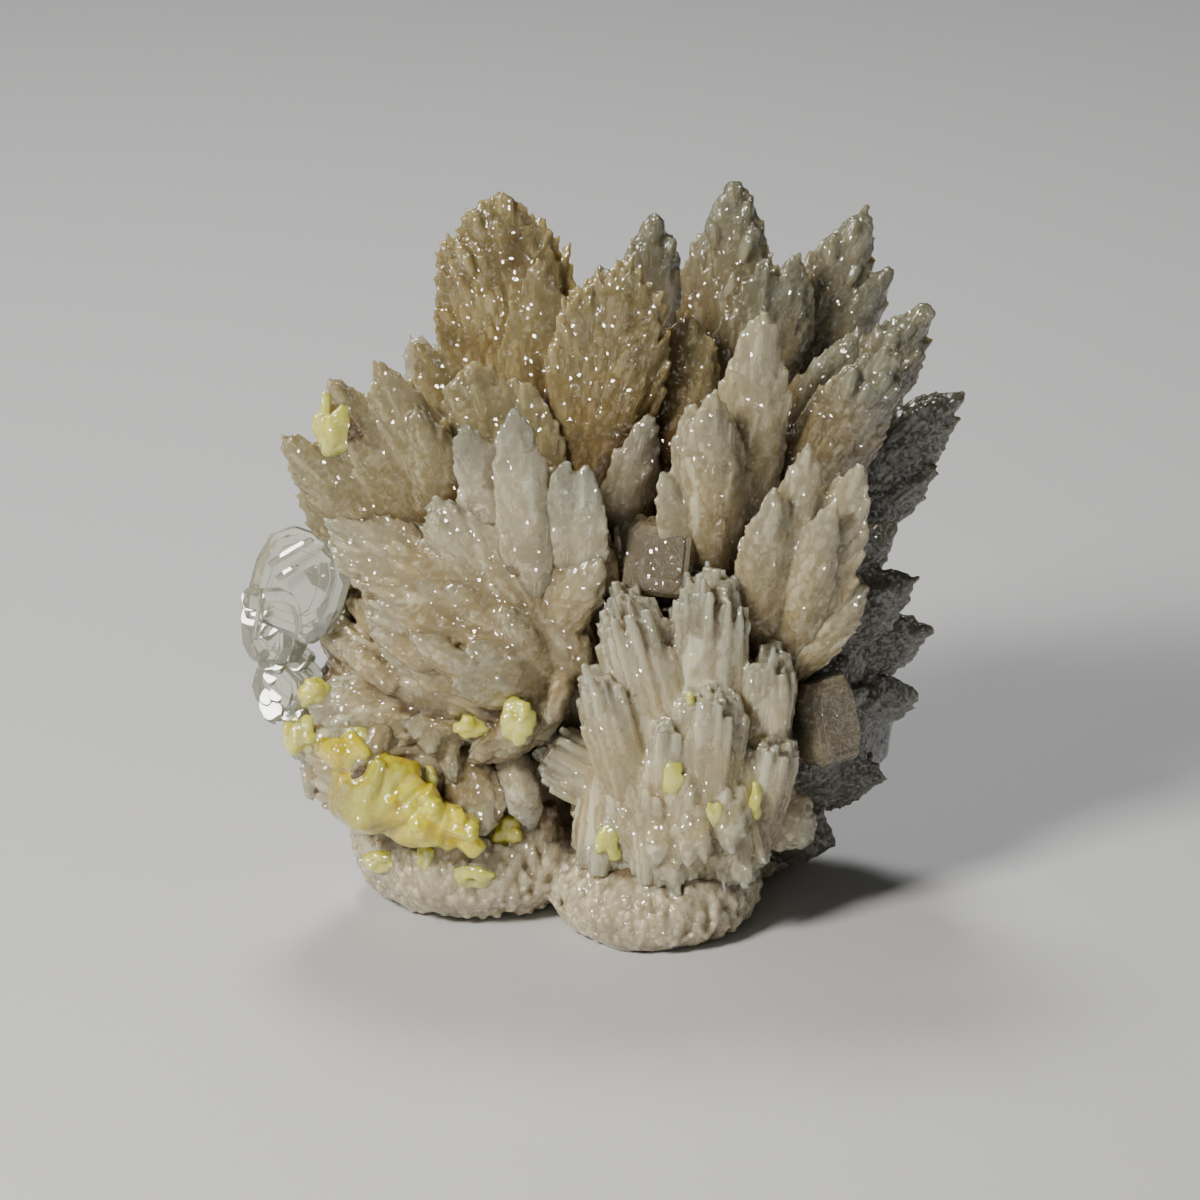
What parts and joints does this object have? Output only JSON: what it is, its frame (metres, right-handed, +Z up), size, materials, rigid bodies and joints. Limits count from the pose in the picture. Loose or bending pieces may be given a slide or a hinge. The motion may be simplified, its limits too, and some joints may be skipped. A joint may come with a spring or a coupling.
{
  "type": "barite with sulfur",
  "caption": "Cabinet mineral specimen: a fan of cream, leaf-like barite blades with saw-toothed edges on a massive base, with yellow native sulfur on its lower left.",
  "frame": {"origin": "on the flat broken foot that the specimen stands on, at the middle of the specimen", "axes": "+Z up, -Y towards the display side, +X to the right as seen from the display side"},
  "size_m": [0.0943, 0.059, 0.0921],
  "materials": {
    "barite_massive": "granular, dull",
    "barite": "translucent cream, glassy to pearly",
    "barite_pale": "translucent ivory, glassy",
    "barite_amber": "translucent honey brown, glassy",
    "barite_grey": "translucent grey green, glassy",
    "barite_clear": "clear, polished crystal faces",
    "sulfur": "translucent lemon yellow, waxy"
  },
  "bodies": {
    "root": {"core_and_foot": "barite_massive", "left_mound": "barite", "right_mound": "barite", "right_flank": "barite_grey", "back_mound": "barite", "cleft_tablet": "barite_pale", "right_block": "barite_grey", "clear_plates": "barite_clear", "left_blade_with_sulfur_tip": "barite", "pale_blade_left": "barite_pale", "pale_blade_upright": "barite_pale", "pale_blade_right": "barite_pale", "lower_left_blade": "barite", "hanging_blade": "barite", "finger_crystal": "barite_pale", "centre_spray": "barite_pale", "lower_right_spray": "barite_pale", "low_lath_right": "barite", "small_blade_centre": "barite_pale", "left_shoulder_blade": "barite", "amber_blade": "barite_amber", "upper_left_inner_blade": "barite", "upper_left_blade": "barite", "brown_blade": "barite_amber", "back_top_blade": "barite_grey", "summit_blade": "barite_grey", "upper_right_blade": "barite_grey", "right_inner_blade": "barite_amber", "right_striated_blade": "barite", "right_back_blade": "barite_grey", "right_edge_blade": "barite_grey", "back_left_blade": "barite", "back_middle_blade": "barite", "back_middle_low_blade": "barite", "back_right_blade": "barite", "sulfur_mass": "sulfur", "sulfur_tip_crust": "sulfur", "sulfur_left_rim": "sulfur", "sulfur_left_drop": "sulfur", "sulfur_crescent": "sulfur", "sulfur_column": "sulfur", "sulfur_patch_left": "sulfur", "sulfur_drop_left": "sulfur", "sulfur_drop_middle": "sulfur", "sulfur_crust_low": "sulfur", "sulfur_drop_low": "sulfur", "sulfur_edge_low": "sulfur", "sulfur_drop_front": "sulfur", "sulfur_rim_front": "sulfur", "sulfur_drop_right": "sulfur", "sulfur_crust_right": "sulfur", "sulfur_dot_upper": "sulfur"}
  },
  "joints": []
}
